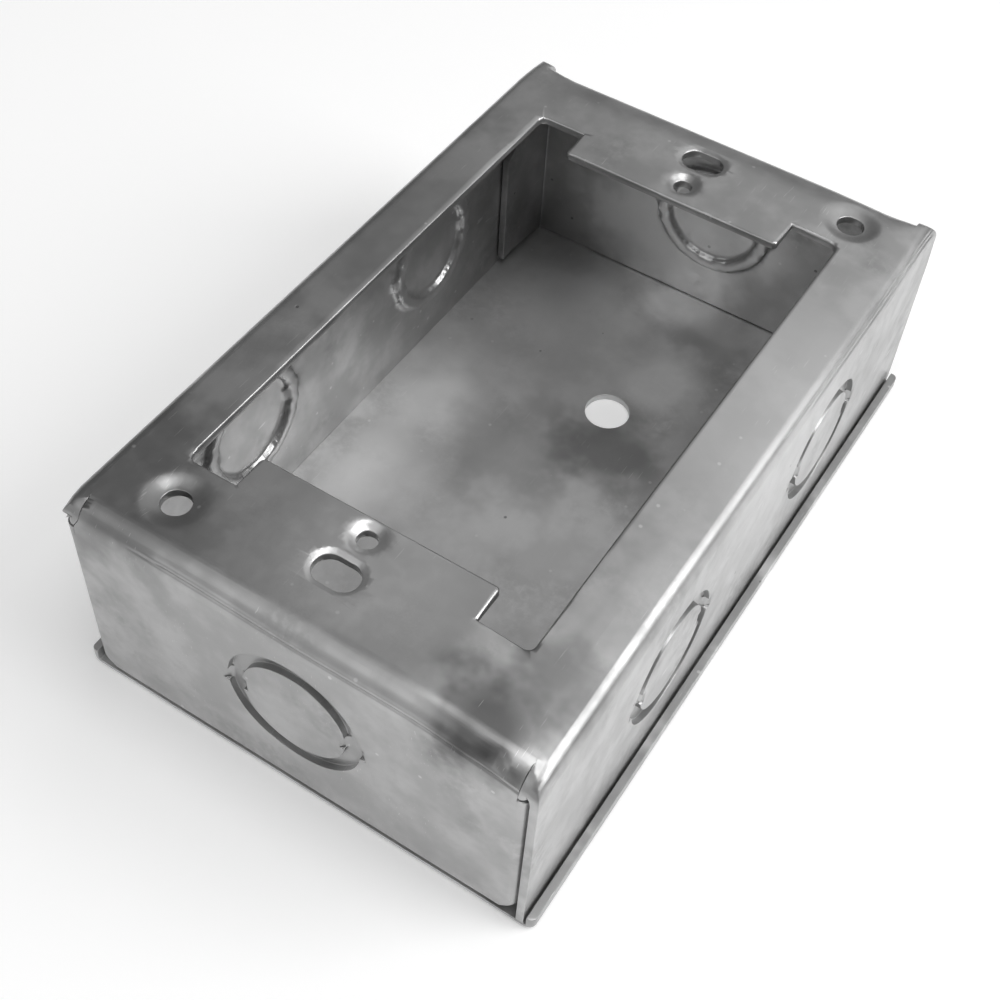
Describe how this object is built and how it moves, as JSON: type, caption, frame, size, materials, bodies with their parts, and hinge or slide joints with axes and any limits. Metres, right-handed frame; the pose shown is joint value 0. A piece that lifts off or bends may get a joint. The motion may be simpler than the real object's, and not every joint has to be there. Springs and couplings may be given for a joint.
{
  "type": "metal back box",
  "caption": "Shallow rectangular folded steel back box with a framed window, round knockouts in its walls and a separate back plate.",
  "frame": {"origin": "the middle of the back plate's underside", "axes": "+Z out of the wall, through the window; +Y along the box's length; +X across its width"},
  "size_m": [0.075, 0.118, 0.038],
  "materials": {
    "body_sheet": "hot-dip galvanised steel sheet, satin, scuffed and finely scratched",
    "plate_sheet": "hot-dip galvanised steel sheet, satin, with soft bright and dark patches"
  },
  "bodies": {
    "root": {"box_body": "body_sheet", "back_plate": "plate_sheet"}
  },
  "joints": []
}
